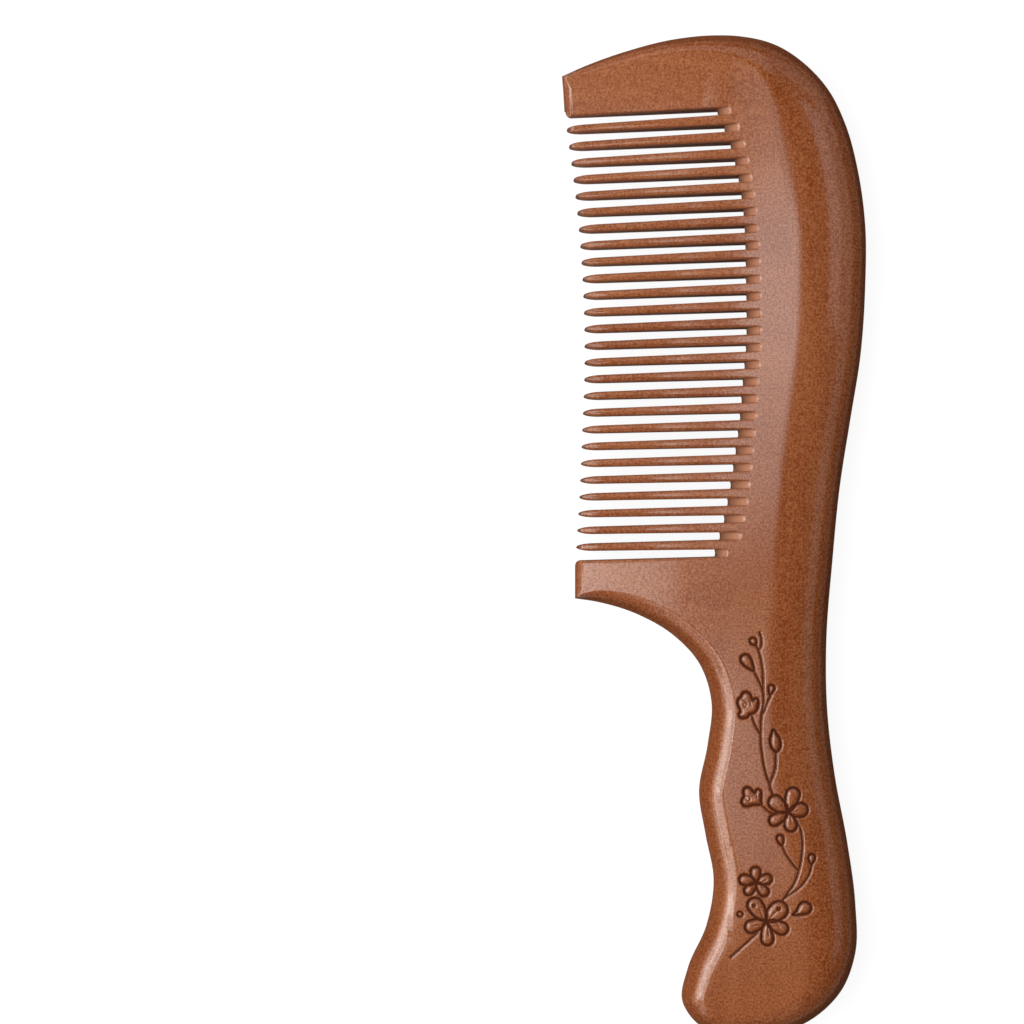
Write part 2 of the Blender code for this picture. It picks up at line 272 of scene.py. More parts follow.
# The blossoms seen from the side, the leaf and the large bud, as closed outlines
OUTLINES_MM = (
    ((5.26, -29.52), (5.90, -29.30), (6.56, -29.62), (6.97, -30.39), (7.20, -30.86), (7.52, -30.49), (8.07, -30.71),
     (8.27, -31.47), (8.18, -32.13), (7.95, -32.84), (7.41, -33.37), (6.88, -33.60), (6.56, -33.71), (6.22, -34.18),
     (5.46, -34.42), (4.71, -34.24), (4.39, -33.60), (4.71, -33.09), (4.39, -32.18), (4.16, -31.54), (4.28, -30.81),
     (4.82, -30.32)),
    ((8.61, -47.94), (8.18, -47.68), (7.74, -47.85), (7.52, -48.37), (7.12, -47.96), (6.65, -47.45), (6.01, -47.30),
     (5.46, -47.62), (5.26, -48.26), (5.43, -49.01), (5.03, -49.69), (4.97, -50.33), (5.35, -50.80), (6.01, -51.03),
     (6.65, -50.92), (7.63, -50.71), (8.50, -50.71), (8.82, -50.48), (8.76, -49.75), (8.80, -49.09), (8.78, -48.41)),
    ((10.99, -36.40), (11.63, -37.16), (12.17, -38.02), (12.44, -39.12), (12.29, -40.08), (11.63, -40.74),
     (10.87, -40.31), (10.44, -39.44), (10.33, -38.35), (10.61, -37.25)),
    ((14.59, -71.35), (15.42, -70.50), (15.77, -69.62), (16.43, -68.99), (17.34, -68.96), (18.04, -69.54),
     (18.19, -70.35), (17.70, -71.07), (16.57, -71.39)),
)

# Fine lines inside the blossoms: the petals' folds and the curled middles
FOLDS_MM = (
    ((13.36, -51.62), (12.49, -50.65)),
    ((14.66, -52.05), (15.51, -51.80)),
    ((14.06, -52.71), (14.34, -53.69)),
    ((13.59, -52.60), (12.40, -53.14)),
    ((7.12, -65.34), (6.16, -64.98)),
    ((8.56, -65.34), (9.65, -64.73)),
    ((8.69, -66.05), (9.18, -66.54)),
    ((7.61, -65.94), (6.88, -66.54)),
    ((7.86, -64.96), (7.73, -64.26)),
    ((9.18, -72.20), (8.33, -70.28)),
    ((10.14, -72.20), (11.82, -70.50)),
    ((11.33, -72.91), (12.17, -73.69)),
    ((9.91, -73.63), (10.06, -75.55)),
    ((9.18, -73.27), (7.48, -73.40)),
    ((5.03, -30.69), (5.61, -31.11), (5.95, -31.62), (5.77, -32.14), (5.33, -32.05), (5.39, -31.64)),
    ((7.05, -30.71), (6.67, -31.09), (6.73, -31.90)),
    ((5.43, -48.98), (6.01, -49.03), (6.50, -49.30), (6.52, -49.77), (6.14, -49.96), (5.78, -49.73), (5.90, -49.43)),
    ((7.52, -48.37), (7.76, -48.86), (7.91, -49.39)),
)

# The lamps, all facing the comb from the same distance: name, how far each leans to the comb's right and to its top,
# how wide and how high it looks from the comb, all in degrees, and its radiance. The gaps between the overhead ones
# leave the dark stripes in the sheen
LAMPS = (
    ("overhead_upper", 4.5, 6.0, 8.0, 5.0, 5.1),
    ("overhead_lower", 3.0, 1.7, 9.0, 3.6, 3.4),
    ("overhead_top", 2.0, 10.5, 9.0, 4.0, 1.3),
    ("overhead_bottom", 0.0, -6.0, 10.0, 6.0, 2.8),
    ("overhead_left", -3.5, 1.5, 4.0, 9.0, 0.7),
    ("left_edge", -8.0, 0.0, 5.0, 6.0, 3.0),
    ("left_upper_edge", -8.0, 6.0, 5.0, 6.0, 2.2),
    ("left_strip", -12.2, 2.0, 3.4, 14.0, 11.0),
    ("left_near", -21.0, 2.0, 13.0, 42.0, 4.6),
    ("left_bank", -36.0, 2.0, 18.0, 14.0, 7.5),
    ("left_bank_upper", -36.0, 16.0, 18.0, 14.0, 4.0),
    ("left_bank_lower", -36.0, -12.0, 18.0, 14.0, 4.7),
    ("left_side", -49.0, 2.0, 8.0, 42.0, 6.2),
    ("far_left", -59.0, 2.0, 12.0, 60.0, 3.1),
    ("left_top", -30.0, 32.0, 20.0, 16.0, 3.3),
    ("left_bottom", -30.0, -28.0, 20.0, 16.0, 1.3),
    ("upper_left", -50.8, 50.8, 26.0, 26.0, 2.9),
    ("far_upper_left", -73.9, 63.5, 24.0, 24.0, 2.0),
    ("lower_left", -50.8, -50.8, 26.0, 26.0, 1.4),
    ("far_lower_left", -75.1, -53.9, 24.0, 24.0, 1.6),
    ("right_near", 35.0, 16.0, 12.0, 20.0, 1.35),
    ("right_bank", 49.0, 8.0, 16.0, 42.0, 0.55),
    ("upper_right", 50.8, 50.8, 26.0, 26.0, 0.6),
    ("top_panel", 2.0, 44.0, 45.0, 36.0, 0.9),
    ("bottom_panel", 2.0, -42.0, 45.0, 36.0, 0.2),
)


def metres(name, description, default):
    """A length property."""
    return bpy.props.FloatProperty(name=name, description=description, default=default, unit="LENGTH")


def hex_colour(name, description, default):
    """A colour property, as an sRGB hex value."""
    return bpy.props.StringProperty(name=name, description=description, default=default)


class CombSizes(bpy.types.PropertyGroup):
    """The comb's outer sizes, as in the frame, its teeth as the picture shows them, and how its carving is cut."""

    length: metres("Length", "From the handle's end to the top", 0.190)
    width: metres("Width", "From the guards to the back", 0.0577)
    thickness: metres("Thickness", "Of the body", 0.010)
    edge_thickness: metres("Edge thickness", "Of the comb at the guards' outer edges", 0.004)
    rounding: metres("Rounding", "How far in the back's rounding starts", 0.0142)
    gap: metres("Gap", "Width of a gap between two teeth at its inner end", 0.00137)
    tip_width: metres("Tip width", "Width of a tooth where its point starts", 0.00143)
    tip_length: metres("Tip length", "Length of a tooth's round point", 0.0031)
    tooth_rounding: metres("Tooth rounding", "Rounding of the teeth's edges", 0.00046)
    run_out_lip: metres("Run-out lip", "Rounding of the run-out's end", 0.00045)
    sawn_depth: metres("Sawn depth", "How far below the sanded faces the lacquer is fully dull", 0.0003)
    run_out: metres("Run-out", "Length of the groove past each gap", 0.0020)
    end_run_out: metres("End run-out", "Length of the groove past the first and the last gap", 0.0016)
    guard_corner: metres("Guard corner", "Radius of the guards' inner corners", 0.0011)
    stem_depth: metres("Stem depth", "Depth of the carved stems", 0.00030)
    stem_half_width: metres("Stem half width", "Half the width of a carved stem", 0.00042)
    petal_depth: metres("Petal depth", "Depth of the line round each petal", 0.00034)
    petal_wall: metres("Petal wall", "Width of the line's outer wall", 0.00036)
    petal_swell: metres("Petal swell", "How far in a petal's surface still rises", 0.00080)
    fold_depth: metres("Fold depth", "Depth of the fine lines in the petals", 0.00018)
    fold_half_width: metres("Fold half width", "Half the width of a fine line", 0.00024)


class CombColours(bpy.types.PropertyGroup):
    """The comb's colours, as sRGB hex values."""

    light_wood: hex_colour("Light wood", "Stained wood between its darker figure", "#905634")
    dark_wood: hex_colour("Dark wood", "Darker figure of the stained wood", "#6A2C0A")
    pore: hex_colour("Pores", "Stain gathered in the pores", "#5E2610")
    # Painted shade: this dark colour darkens the carving's grooves, the teeth's points and the outer edge
    painted_shade_colour: hex_colour("Grooves", "Stain gathered in the carving and at the teeth's points", "#3E1508")
    # Partly painted light: the sawn walls are lighter in place of the light bounced into the gaps
    sawn_wood_and_bounce_light: hex_colour("Sawn wood", "Stained wood of the walls and grooves between the teeth", "#94644C")
    wood_sheen: hex_colour("Wood's sheen", "Tint of the light that the wood throws back under its lacquer", "#FFD3A0")
    raw_wood: hex_colour("Raw wood", "Unstained wood of the tongue", "#C8A27A")
    raw_band: hex_colour("Raw wood's bands", "Denser bands of the unstained wood", "#B98F66")
    floor: hex_colour("Floor", "Floor and sweep under the lamps alone", "#5A5A5A")


class StageSettings(bpy.types.PropertyGroup):
    """The camera, the lamps' level and the floor."""

    camera_height: metres("Camera height", "Above the middle of the comb's thickness", 0.72)
    lamp_distance: metres("Lamp distance", "From the comb to each lamp", 1.1)
    lamp_level: bpy.props.FloatProperty(name="Lamp level", description="Scales every lamp", default=1.0)
    world_level: bpy.props.FloatProperty(name="World level", description="Strength of the even light", default=0.02)
    floor_glow: bpy.props.FloatProperty(
        name="Floor glow", description="What the floor adds to its lit colour in the picture", default=0.92
    )
    floor_radius: metres("Floor radius", "From the comb to the rising edge", 2.6)
    sweep_height: metres("Sweep height", "Height of the floor's rising edge", 0.7)


def sizes():
    """The comb's sizes, as they are set in the scene."""
    return bpy.context.scene.comb_sizes


def colours():
    """The comb's colours, as they are set in the scene."""
    return bpy.context.scene.comb_colours


def stage_settings():
    """The stage's settings, as they are set in the scene."""
    return bpy.context.scene.comb_stage


def smooth_run(places, steps):
    """Places along a smooth curve through the given ones, with handles a third as long as each stretch."""
    places = [Vector(place) for place in places]
    lengths = [(end - start).length for start, end in zip(places, places[1:])]
    leans = [(end - start) / length for start, end, length in zip(places, places[1:], lengths)]
    tangents = [leans[0]]
    for before, after, lean_in, lean_out in zip(lengths, lengths[1:], leans, leans[1:]):
        tangents.append((lean_in * after + lean_out * before) / (before + after))
    tangents.append(leans[-1])
    run = []
    for i, length in enumerate(lengths):
        start, end = places[i], places[i + 1]
        handles = start + tangents[i] * length / 3, end - tangents[i + 1] * length / 3
        run += geometry.interpolate_bezier(start, *handles, end, steps + 1)[:-1]
    return run + [places[-1]]


def sized(shares):
    """Shares of the width, the length and the back's rounding as metres from the comb's lower left."""
    width_share, length_share, rounding_share = shares
    s = sizes()
    return Vector((width_share * s.width, length_share * s.length, rounding_share * s.rounding))


def outline():
    """The comb's outline, clockwise from above: x, y and how wide the rounding is there."""
    back = smooth_run([sized(shares) for shares in OUTLINE_SHARES], OUTLINE_STEPS)
    clear = [p for p in back if min((p - back[0]).xy.length, (p - back[-1]).xy.length) > CORNER_CLEARANCE]
    return [back[0], *clear, back[-1], *(sized(shares) for shares in GUARD_EDGE_SHARES)]


def comb_centre():
    """The middle of the outline's box, which lies at the frame's origin."""
    places = outline()
    xs = [place.x for place in places]
    ys = [place.y for place in places]
    return Vector(((min(xs) + max(xs)) / 2, (min(ys) + max(ys)) / 2, 0))


def placed(shares):
    """A place given as shares of the width and the length, in metres from the comb's centre."""
    return sized((*shares, 0)) - comb_centre()


def along_row(shares, count):
    """Evenly spaced values on a smooth curve through the given ones."""
    stations = smooth_run([(i / (len(shares) - 1), share, 0) for i, share in enumerate(shares)], count)
    wanted = np.linspace(0, 1, count)
    return np.interp(wanted, [station.x for station in stations], [station.y for station in stations])


def across_comb(shares, count):
    """Evenly spaced values on a smooth curve through the given shares of the width, as places across the comb."""
    return [placed((share, 0)).x for share in along_row(shares, count)]


def thinning():
    """Where the thinning starts, the direction across that line, and how far it is to the comb's left side."""
    top, neck = (placed(shares) for shares in THINNING_LINE_SHARES)
    outward = (neck - top).cross(Vector((0, 0, 1))).normalized()
    if outward.x > 0:
        outward.negate()
    reach = (placed((0, THINNING_LINE_SHARES[0][1])) - top).dot(outward)
    return top, outward, reach


def thin_by(place, line):
    """The thickness at a place as a share of the body's: it eases into an even taper towards the tooth tips."""
    top, outward, reach = line
    past = (Vector((place.x, place.y, 0)) - top).dot(outward) / reach
    ease = THINNING_EASE_SHARE
    if past <= -ease:
        return 1.0
    if past < ease:
        past = (past + ease) ** 2 / (4 * ease)
    return 1 - (1 - sizes().edge_thickness / sizes().thickness) * past


def pairs_round(items):
    """Each item of a loop with the one after it."""
    return zip(items, items[1:] + items[:1])


def ring(shape, places):
    """A closed loop of edges through the places."""
    corners = [shape.verts.new(place) for place in places]
    for start, end in pairs_round(corners):
        shape.edges.new((start, end))
    return corners


def grow(shape, loop, places):
    """Extrudes a loop to new places and returns the new loop in the same order."""
    edges = [shape.edges.get((start, end)) for start, end in pairs_round(loop)]
    made = bmesh.ops.extrude_edge_only(shape, edges=edges)["geom"]
    new = {corner for corner in made if isinstance(corner, bmesh.types.BMVert)}
    grown = [next(e.other_vert(c) for e in c.link_edges if e.other_vert(c) in new) for c in loop]
    for corner, place in zip(grown, places):
        corner.co = place
    return grown


def inward_directions(places):
    """The direction into the outline at each place, lengthened at corners so that both edges move in alike."""
    found = []
    for before, here, after in zip(places[-1:] + places[:-1], places, places[1:] + places[:1]):
        lean_in = (here.xy - before.xy).normalized()
        lean_out = (after.xy - here.xy).normalized()
        across = Vector((lean_in.y + lean_out.y, -lean_in.x - lean_out.x, 0))
        found.append(across * 2 / across.length_squared)
    return found


def edge_height(inset):
    """The height of the rounding at a share of the way in, as a share of half the thickness."""
    return math.sqrt(max(1 - (1 - min(inset, 1)) ** 2, 0))


def make_blank(shape):
    """The comb as one sanded board with no gaps: rounded from the middle of its edge to a flat on each face."""
    places = outline()
    centre = comb_centre()
    inward = inward_directions(places)
    half = sizes().thickness / 2
    rim = [Vector((place.x, place.y, 0)) - centre for place in places]
    middle = ring(shape, rim)
    caps = []
    for side in (-1, 1):
        loop = middle
        for step in range(1, ROUNDING_STEPS + 1):
            inset = 1 - math.cos(math.pi / 2 * step / ROUNDING_STEPS)
            height = Vector((0, 0, side * half * edge_height(inset)))
            loop = grow(shape, loop, [r + n * o.z * inset + height for r, n, o in zip(rim, inward, places)])
        caps.append(shape.faces.new(loop))
    bmesh.ops.recalc_face_normals(shape, faces=shape.faces)
    return caps


def thin_teeth(shape):
    """Thins the blank towards the tooth tips, with lines across it where the taper eases in."""
    line = thinning()
    top, outward, reach = line
    for share in np.linspace(-THINNING_EASE_SHARE, THINNING_EASE_SHARE, THINNING_STEPS):
        everything = shape.verts[:] + shape.edges[:] + shape.faces[:]
        place = top + outward * reach * share
        bmesh.ops.bisect_plane(shape, geom=everything, plane_co=place, plane_no=outward, dist=0)
    for corner in shape.verts:
        corner.co.z *= thin_by(corner.co, line)


def inside(place, corners):
    """Whether a place lies inside a convex outline given clockwise."""
    for start, end in pairs_round(corners):
        if (end.x - start.x) * (place.y - start.y) - (end.y - start.y) * (place.x - start.x) > 0:
            return False
    return True


def slice_faces(shape, faces, place, normal):
    """Cuts the given faces along a plane."""
    edges = {edge for face in faces for edge in face.edges}
    verts = {vert for face in faces for vert in face.verts}
    bmesh.ops.bisect_plane(shape, geom=[*verts, *edges, *faces], plane_co=place, plane_no=normal, dist=0)


def make_panel(shape):
    """Replaces the front inside the panel by an even net of cells that follow the same surface."""
    mark = shape.faces.layers.int.new("panel")
    surface = bvhtree.BVHTree.FromBMesh(shape)
    corners = [Vector((x * MM, y * MM, 0)) for x, y in PANEL_CORNERS_MM]
    half = sizes().thickness / 2
    for start, end in pairs_round(corners):
        front = [face for face in shape.faces if face.normal.z > FRONT_LIMIT]
        slice_faces(shape, front, start, (end - start).cross(Vector((0, 0, 1))).normalized())
    held = [f for f in shape.faces if f.normal.z > FRONT_LIMIT and inside(f.calc_center_median(), corners)]
    whole = bmesh.ops.dissolve_faces(shape, faces=held, use_verts=False)["region"]
    for face in whole:
        face[mark] = 1
    cell = PANEL_CELL_MM * MM
    for axis in range(2):
        low = min(corner[axis] for corner in corners)
        high = max(corner[axis] for corner in corners)
        normal = Vector((1 - axis, axis, 0))
        for place in np.arange(low + cell, high, cell):
            slice_faces(shape, [face for face in shape.faces if face[mark]], normal * place, normal)
    cells = [face for face in shape.faces if face[mark]]
    middles = np.array([face.calc_center_median()[:2] for face in cells])
    near = carving_depth(middles, reach=cell)[1] | (middles[:, 0] < PANEL_FLAT_FROM_MM * MM)
    edges = {edge for face, close in zip(cells, near) if close for edge in face.edges}
    bmesh.ops.subdivide_edges(shape, edges=list(edges), cuts=PANEL_CUTS, use_grid_fill=True)
    verts = list({vert for face in shape.faces if face[mark] for vert in face.verts})
    drops, _ = carving_depth(np.array([vert.co[:2] for vert in verts]))
    down = Vector((0, 0, -1))
    for vert, drop in zip(verts, drops):
        above = Vector((vert.co.x, vert.co.y, half * 2))
        hit = surface.ray_cast(above, down)[0]
        vert.co.z = hit.z - drop


def teardrop(centre, reach, half_width, angle):
    """A petal's outline from the blossom's middle to its round end, as millimetres."""
    lean = Vector((math.cos(angle), math.sin(angle)))
    across = Vector((-lean.y, lean.x))
    widest = max(reach - half_width * PETAL_END_SHARE, reach / 2)
    places = []
    for share in np.linspace(-1, 1, 4 * SHAPE_STEPS + 1):
        turn = math.pi * (1 - abs(share))
        along = widest + (reach - widest) * math.cos(turn) if turn < math.pi / 2 else widest * (1 + math.cos(turn))
        wide = math.sin(turn) if turn < math.pi / 2 else math.sin(turn) ** PETAL_TAPER
        places.append(Vector(centre) + lean * along + across * half_width * wide * (1 if share > 0 else -1))
    return places[:-1]


def bud(centre, radius, point):
    """A bud's outline: round at one end and drawn to its point."""
    reach = (Vector(point) - Vector(centre)).length
    lean = (Vector(point) - Vector(centre)) / reach
    across = Vector((-lean.y, lean.x))
    places = []
    for step in range(4 * SHAPE_STEPS):
        turn = 2 * math.pi * step / (4 * SHAPE_STEPS)
        stretch = reach if math.cos(turn) > 0 else radius
        wide = math.sin(turn) * (1 - max(math.cos(turn), 0) ** 2 * (1 - radius / max(reach, radius)))
        places.append(Vector(centre) + lean * stretch * math.cos(turn) + across * radius * wide)
    return places


def closed_run(places):
    """A smooth closed curve through the places."""
    places = [Vector(place) for place in places]
    run = smooth_run([(*p, 0) for p in places[-2:] + places + places[:2]], SHAPE_STEPS)
    return [place.xy for place in run[2 * SHAPE_STEPS : -SHAPE_STEPS - 1]][: len(places) * SHAPE_STEPS]


def distances(places, run):
    """How far each place is from a line through the places of a run."""
    nearest = np.full(len(places), np.inf)
    for start, end in zip(run, run[1:]):
        along = end - start
        share = np.clip((places - start) @ along / (along @ along), 0, 1)
        offset = places - start - share[:, None] * along
        nearest = np.minimum(nearest, np.hypot(offset[:, 0], offset[:, 1]))
    return nearest


def near_run(places, run, around):
    """The numbers of the places that lie in a run's box, widened all round, and how far each is from the run."""
    held = ((places > run.min(0) - around) & (places < run.max(0) + around)).all(1)
    index = np.nonzero(held)[0]
    return index, distances(places[index], run)


def enclosed(places, run):
    """Which places lie inside a closed run."""
    found = np.zeros(len(places), bool)
    for (x0, y0), (x1, y1) in zip(run, run[1:]):
        if y0 == y1:
            continue
        crosses = (places[:, 1] > min(y0, y1)) & (places[:, 1] <= max(y0, y1))
        found ^= crosses & (places[:, 0] < x0 + (places[:, 1] - y0) * (x1 - x0) / (y1 - y0))
    return found


def bell(distance, width):
    """1 at no distance, easing to 0 at the given width."""
    return np.cos(np.clip(distance / width, 0, 1) * math.pi / 2) ** 2


def carving_shapes():
    """The carving's closed shapes and its open lines, as runs of places in metres."""
    closed = [closed_run(places) for places in OUTLINES_MM]
    closed += [bud(*parts) for parts in BUDS_MM]
    for centre, petals in BLOSSOMS_MM:
        closed += [teardrop(centre, reach, wide, math.radians(angle)) for angle, reach, wide in petals]
    closed = [np.array(run) * MM for run in closed]
    closed = [np.vstack([run, run[:1]]) for run in closed]
    stems, folds = (
        [np.array([place.xy for place in smooth_run([(*p, 0) for p in run], SHAPE_STEPS)]) * MM for run in runs]
        for runs in (STEMS_MM, FOLDS_MM)
    )
    return closed, stems, folds


def carving_depth(places, reach=0.0):
    """How deep the carving is at each place, and which places lie within reach of any of it."""
    s = sizes()
    depth = np.zeros(len(places))
    near = np.zeros(len(places), bool)
    closed, stems, folds = carving_shapes()
    for run in closed:
        index, away = near_run(places, run, max(s.petal_wall, s.petal_swell) + reach)
        within = enclosed(places[index], run)
        swell = min(s.petal_swell, SWELL_SHARE * (run.max(0) - run.min(0)).min() / 2)
        drop = s.petal_depth * np.where(within, bell(away, swell), bell(away, s.petal_wall))
        depth[index] = np.maximum(depth[index], drop)
        near[index] |= within | (away < s.petal_wall + reach)
    for runs, half, deep in ((stems, s.stem_half_width, s.stem_depth), (folds, s.fold_half_width, s.fold_depth)):
        for run in runs:
            index, away = near_run(places, run, half + reach)
            depth[index] = np.maximum(depth[index], deep * bell(away, half))
            near[index] |= away < half + reach
    return depth, near


def gap_centres():
    """Each gap's inner end and the direction from it to its mouth, from the top gap to the bottom one."""
    count = TOOTH_COUNT + 1
    depths = across_comb(GAP_DEPTH_SHARES, count)
    rows = [placed((0, share)).y for share in along_row(GAP_ROW_SHARES, count)]
    slopes = np.linspace(TOP_GAP_SLOPE, BOTTOM_GAP_SLOPE, count)
    return [
        (Vector((x, y, 0)), Vector((-math.cos(slope), -math.sin(slope), 0)))
        for x, y, slope in zip(depths, rows, slopes)
    ]


def tooth_tips():
    """Each tooth's tip and its direction, halfway between the gaps on its two sides."""
    gaps = gap_centres()
    found = []
    tips = across_comb(TIP_LINE_SHARES, TOOTH_COUNT)
    for x, (above, lean_above), (below, lean_below) in zip(tips, gaps, gaps[1:]):
        root = (above + below) / 2
        lean = (lean_above + lean_below).normalized()
        found.append((root + lean * (x - root.x) / lean.x, lean))
    return found


def end_of_gap(end, lean, rounding_share, run_out):
    """Round the inner end of one gap, from its upper side to its lower side."""
    s = sizes()
    across = Vector((lean.y, -lean.x, 0))
    half = s.gap / 2 + rounding_share * ROOT_ROUNDING_SHARE * s.tooth_rounding
    inner, outer = END_BULGE_SHARES
    bulge = half * (inner + (outer - inner) * min(run_out / s.end_run_out, 1)) + rounding_share * s.run_out_lip
    places = []
    for step in range(GAP_END_STEPS + 1):
        angle = math.pi * step / GAP_END_STEPS
        places.append(end + across * half * math.cos(angle) - lean * (run_out + bulge * math.sin(angle)))
    return places


def round_tip(tip, lean, narrowing):
    """Round one tooth's point, from its upper side to its lower side."""
    across = Vector((lean.y, -lean.x, 0))
    half = sizes().tip_width / 2 - narrowing
    places = []
    for step in range(TIP_STEPS + 1):
        angle = math.pi * step / TIP_STEPS
        back = sizes().tip_length * (1 - math.sin(angle)) + narrowing
        places.append(tip + across * half * math.cos(angle) - lean * back)
    return places


def round_guard(corner, side, growth):
    """Round a guard's inner corner, starting outside the comb: side is 1 for the top guard and -1 for the lower."""
    s = sizes()
    outside = Vector((-OVERRUN - corner.x - s.width / 2, 0, 0))
    middle = corner + Vector((s.guard_corner, side * s.guard_corner, 0))
    radius = s.guard_corner - growth
    places = []
    for angle in np.linspace(0, math.pi / 2, TIP_STEPS):
        places.append(middle - Vector((math.cos(angle), side * math.sin(angle), 0)) * radius)
    return [places[0] + outside] + places


def gap_outline(rounding_share, run_out_share):
    """The outline of everything that is cut away between the teeth, at one level."""
    s = sizes()
    growth = rounding_share * s.tooth_rounding
    run_outs = along_row(RUN_OUT_SHARES, TOOTH_COUNT + 1)
    gaps = gap_centres()
    tips = tooth_tips()
    pitch = (tips[0][0] - tips[-1][0]).length / (TOOTH_COUNT - 1)
    mouth = (pitch - s.tip_width) / 2
    guards = []
    for side, share, (end, lean) in zip((1, -1), GUARD_SIDE_SHARES, (gaps[0], gaps[-1])):
        x = placed((share, 0)).x
        guards.append(Vector((x, (end + lean * (x - end.x) / lean.x).y + side * mouth, 0)))
    places = round_guard(guards[0], 1, growth)
    for i, (end, lean) in enumerate(gaps):
        run_out = s.end_run_out if i in (0, TOOTH_COUNT) else s.run_out * run_outs[i]
        places += end_of_gap(end, lean, rounding_share, run_out * run_out_share)
        if i < TOOTH_COUNT:
            places += round_tip(*tips[i], growth)
    return places + round_guard(guards[1], -1, growth)[::-1]


def make_gaps(shape):
    """One cutter for all the gaps: narrow and upright at mid thickness, wider and running out towards each face."""
    levels = [(-depth, *shares) for depth, *shares in reversed(GAP_LEVEL_SHARES)] + list(GAP_LEVEL_SHARES)
    line = thinning()
    half = sizes().thickness / 2
    loop = None
    for depth, rounding_share, run_out_share in levels:
        places = []
        for place in gap_outline(rounding_share, run_out_share):
            places.append(place + Vector((0, 0, depth * thin_by(place, line) * half)))
        if loop is None:
            bottom = ring(shape, places)
            loop = bottom
        else:
            loop = grow(shape, loop, places)
    for side, end in ((-1, bottom), (1, loop)):
        height = side * (half + OVERRUN)
        cap = grow(shape, end, [Vector((corner.co.x, corner.co.y, height)) for corner in end])
        shape.faces.new(cap)


def joint_circle():
    """The centre and the radius of the joint's arc, and its angles at the neck and at the top."""
    top, middle, neck = (placed(shares) for shares in JOINT_ARC_SHARES)
    rows = np.array([[2 * (p - top).x, 2 * (p - top).y] for p in (middle, neck)])
    squares = [p.length_squared - top.length_squared for p in (middle, neck)]
    centre = Vector((*np.linalg.solve(rows, squares), 0))
    angles = [math.atan2((p - centre).y, (p - centre).x) for p in (neck, top)]
    return centre, (top - centre).length, angles


def make_joint_disc(shape):
    """A disc as large as the joint's arc, through the whole comb."""
    centre, radius, _ = joint_circle()
    height = sizes().thickness + 2 * OVERRUN
    bmesh.ops.create_cone(
        shape, cap_ends=True, segments=JOINT_STEPS, radius1=radius, radius2=radius, depth=height
    )
    bmesh.ops.translate(shape, verts=shape.verts, vec=centre)


def make_groove(shape):
    """The room for the tongue: a strip bent along the joint's arc, half in each board."""
    centre, radius, (neck, top) = joint_circle()
    start, stop = (neck + share * (top - neck) for share in TONGUE_SPAN_SHARES)
    start -= GLUE_GAP / radius
    stop += GLUE_GAP / radius
    reach = TONGUE_DEPTH + GLUE_GAP
    half = TONGUE_THICKNESS / 2 + GLUE_GAP
    section = [(-reach, -half), (reach, -half), (reach, half), (-reach, half)]
    facing = Vector((math.cos(start), math.sin(start), 0))
    corners = [shape.verts.new(centre + facing * (radius + out) + Vector((0, 0, up))) for out, up in section]
    end = shape.faces.new(corners)
    bmesh.ops.spin(shape, geom=[end], cent=centre, axis=(0, 0, 1), angle=stop - start, steps=TONGUE_STEPS)


def new_object(name, *makes):
    """An object whose mesh the given functions make one after another, lifted from mid thickness onto the floor."""
    mesh = bpy.data.meshes.new(name)
    shape = bmesh.new()
    for make in makes:
        make(shape)
    bmesh.ops.translate(shape, verts=shape.verts, vec=(0, 0, sizes().thickness / 2))
    bmesh.ops.recalc_face_normals(shape, faces=shape.faces)
    shape.to_mesh(mesh)
    shape.free()
    made = bpy.data.objects.new(name, mesh)
    bpy.context.scene.collection.objects.link(made)
    return made


def cut(target, makes):
    """Cuts the target by each tool in turn and keeps the result as its mesh."""
    tools = []
    for make, operation in makes:
        tool = new_object("cutter", make)
        step = target.modifiers.new("cut", "BOOLEAN")
        step.operation = operation
        step.solver = "EXACT"
        step.object = tool
        tools.append(tool)
    graph = bpy.context.evaluated_depsgraph_get()
    result = bpy.data.meshes.new_from_object(target.evaluated_get(graph))
    target.modifiers.clear()
    shape = bmesh.new()
    shape.from_mesh(result)
    bmesh.ops.remove_doubles(shape, verts=shape.verts, dist=MERGE_DISTANCE)
    bmesh.ops.dissolve_degenerate(shape, edges=shape.edges, dist=MERGE_DISTANCE / 10)
    shape.to_mesh(result)
    shape.free()
    old = target.data
    target.data = result
    bpy.data.meshes.remove(old)
    result.name = target.name
    for tool in tools:
        bpy.data.meshes.remove(tool.data)


def write_layer(mesh, name, values):
    """Writes one value for each point of a mesh, for its material."""
    layer = mesh.attributes.new(name, "FLOAT", "POINT")
    layer.data.foreach_set("value", np.clip(values, 0, 1))


def sawn_share(mesh):
    """How far below the uncut board each point lies: 0 on the sanded faces, 1 on the walls between the teeth."""
    blank = bmesh.new()
    make_blank(blank)
    thin_teeth(blank)
    bmesh.ops.translate(blank, verts=blank.verts, vec=(0, 0, sizes().thickness / 2))
    surface = bvhtree.BVHTree.FromBMesh(blank)
    blank.free()
    depths = np.array([surface.find_nearest(vert.co)[3] for vert in mesh.vertices])
    return np.clip(depths / sizes().sawn_depth, 0, 1) ** 2


